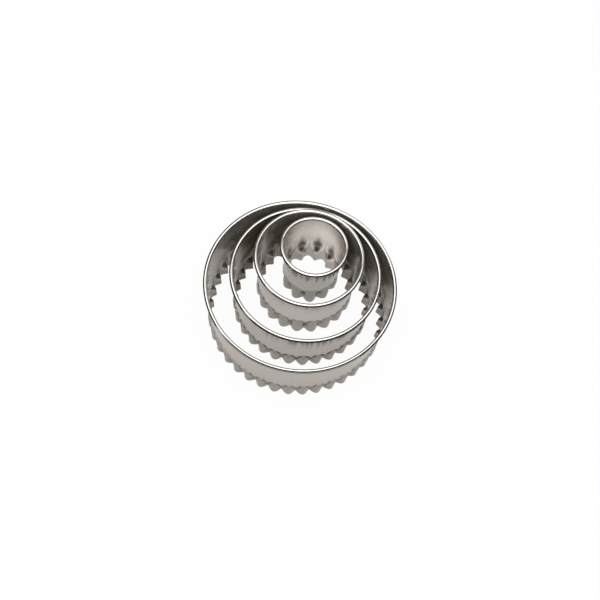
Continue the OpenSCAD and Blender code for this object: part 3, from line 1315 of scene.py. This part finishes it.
@dataclass
class Studio:
    """Pale floor, white surround, one soft lamp above, and dark cards that shape the metal's gloss.

    Attributes:
        floor_side, floor_drop: Width of the floor, and how far it lies below the cutting edges.
        floor_white: Colour of the floor.
        floor_shown, floor_in_gloss: How much plain white the camera and the gloss see on it.
        ambient, world_in_gloss: Strength of the surround as light, and in gloss.
        lamp_power, lamp_sides, lamp_place: The lamp, in watts and millimetres.
        card_columns: Faces of a card.
        cards: The cards.
    """

    floor_side: float = 6000.0
    floor_drop: float = 0.02
    floor_white: float = 0.92
    floor_shown: float = 0.955
    floor_in_gloss: float = 0.6
    ambient: float = 0.3
    world_in_gloss: float = 0.8
    lamp_power: float = 9.0
    lamp_sides: Pair = (860.0, 1900.0)
    lamp_place: Triple = (0.0, -615.0, 600.0)
    card_columns: int = 64
    cards: tuple[Card, ...] = (
        Card(-140.0, -8.0, 68.0, 36.0, 92.0, 0.02),
        Card(-140.0, -8.0, 68.0, 0.5, 9.0, 0.02, 30.0),
        Card(8.0, 45.0, 85.0, 2.0, 56.0, 0.18, 12.0),
        Card(100.0, 195.0, 85.0, 2.0, 56.0, 0.04, 25.0),
        Card(82.0, 94.0, 150.0, 0.5, 300.0, 0.45),
        Card(94.0, 140.0, 150.0, 0.5, 240.0, 0.45),
        Card(141.0, 205.0, 150.0, 0.5, 165.0, 0.02),
        Card(-30.0, 42.0, 150.0, 0.5, 190.0, 0.16),
    )

    def seen(self, graph: Graph, shown: float, in_gloss: float) -> Signal:
        """How far camera, glossy and transmission rays meet the plain white; 0 for all other rays.

        Args:
            graph: The node tree.
            shown: The share for camera rays.
            in_gloss: The share for glossy and transmission rays.

        Returns:
            The share for the ray at hand.
        """
        path = graph.node("ShaderNodeLightPath")
        names = ("Is Camera Ray", "Is Glossy Ray", "Is Transmission Ray")
        first, second, third = (Signal(graph, path.outputs[n]) for n in names)
        return (first * shown).most(second.most(third) * in_gloss)

    def world(self) -> None:
        """White where it is seen, and a plain soft light elsewhere."""
        world = bpy.data.worlds.new("white surround")
        world.use_nodes = True
        graph = Graph(world.node_tree)
        strength = self.seen(graph, 1.0, self.world_in_gloss).most(self.ambient)
        inputs = {"Color": (1.0, 1.0, 1.0), "Strength": strength}
        graph.show(graph.node("ShaderNodeBackground", {}, inputs), "ShaderNodeOutputWorld")
        bpy.context.scene.world = world

    def floor(self) -> None:
        """A flat floor that keeps the object's shadow."""
        corners = np.array([[-1, -1, 0], [1, -1, 0], [1, 1, 0], [-1, 1, 0]]) * self.floor_side / 2
        made = make_mesh("floor", corners - [0, 0, self.floor_drop], np.array([[0, 1, 2, 3]]))
        material, graph = start_material("pale floor")
        paint = graph.node("ShaderNodeBsdfDiffuse", {}, {"Color": (self.floor_white,) * 3})
        glow = graph.node("ShaderNodeEmission", {}, {"Color": (1.0, 1.0, 1.0), "Strength": 1.0})
        share = self.seen(graph, self.floor_shown, self.floor_in_gloss)
        inputs = {0: share, 1: paint.outputs[0], 2: glow.outputs[0]}
        graph.show(graph.node("ShaderNodeMixShader", {}, inputs))
        made.data.materials.append(material)
        made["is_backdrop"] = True

    def lamp(self) -> None:
        """A large lamp that hangs level above and in front of the object."""
        data = bpy.data.lights.new("soft lamp", "AREA")
        data.shape, data.energy = "RECTANGLE", self.lamp_power
        data.size, data.size_y = (side * MM for side in self.lamp_sides)
        made = bpy.data.objects.new("soft lamp", data)
        made.location = Vector(self.lamp_place) * MM
        bpy.context.scene.collection.objects.link(made)

    def card(self, number: int, card: Card) -> None:
        """Builds one card as part of a cylinder: the grid of its azimuths and its two heights.

        With u the angle from the nearer end as a share of the fade, it covers ease(u).

        Args:
            number: The card's number, for its name.
            card: Its sizes.
        """
        count = self.card_columns + 1
        turn = np.linspace(card.start, card.end, count)
        ring = np.stack([np.cos(np.radians(turn)), np.sin(np.radians(turn))], 1) * card.radius
        points = [np.column_stack([ring, np.full(count, h)]) for h in (card.low, card.top)]
        i = np.arange(self.card_columns)
        faces = np.stack([i + 1, i, i + count, i + count + 1], 1)
        inside = np.minimum(turn - card.start, card.end - turn)
        cover = ease(np.clip(inside / card.fade, 0, 1)) if card.fade else np.ones(count)
        marks = {"cover": np.tile(cover, 2)}
        made = make_mesh(f"card_{number}", np.concatenate(points), faces, marks)
        material, graph = start_material(f"dark card {number}")
        paint = graph.node("ShaderNodeBsdfDiffuse", {}, {"Color": (card.grey,) * 3})
        clear = graph.node("ShaderNodeBsdfTransparent")
        inputs = {0: graph.attribute("cover"), 1: clear.outputs[0], 2: paint.outputs[0]}
        graph.show(graph.node("ShaderNodeMixShader", {}, inputs))
        made.data.materials.append(material)
        made.visible_camera = made.visible_diffuse = made.visible_shadow = False
        made.visible_transmission = made.visible_volume_scatter = False
        made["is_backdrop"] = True

    def build(self) -> None:
        """Sets the view transform and builds the whole studio."""
        bpy.context.scene.view_settings.view_transform = "Standard"
        self.world()
        self.floor()
        self.lamp()
        for number, card in enumerate(self.cards):
            self.card(number, card)
        LOG.info("studio: floor, surround, lamp and %d cards", len(self.cards))


def main() -> None:
    """Builds the camera, the studio and the four cutters."""
    logging.basicConfig(level=logging.INFO, format="%(name)s: %(message)s")
    Viewpoint().build()
    Studio().build()
    finishes = {
        Slot.SHEET: SheetFinish().build(),
        Slot.WIRE: WireFinish().build(),
        Slot.WELD: WeldFinish().build(),
    }
    for cutter in NestedSet().cutters():
        cutter.dress(finishes)
    boxes = {"cad": CAD_BOX, "visual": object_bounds()}
    boxes = {key: [list(corner) for corner in box] for key, box in boxes.items()}
    LOG.info("size: %s", boxes)


if __name__ == "__main__":
    main()
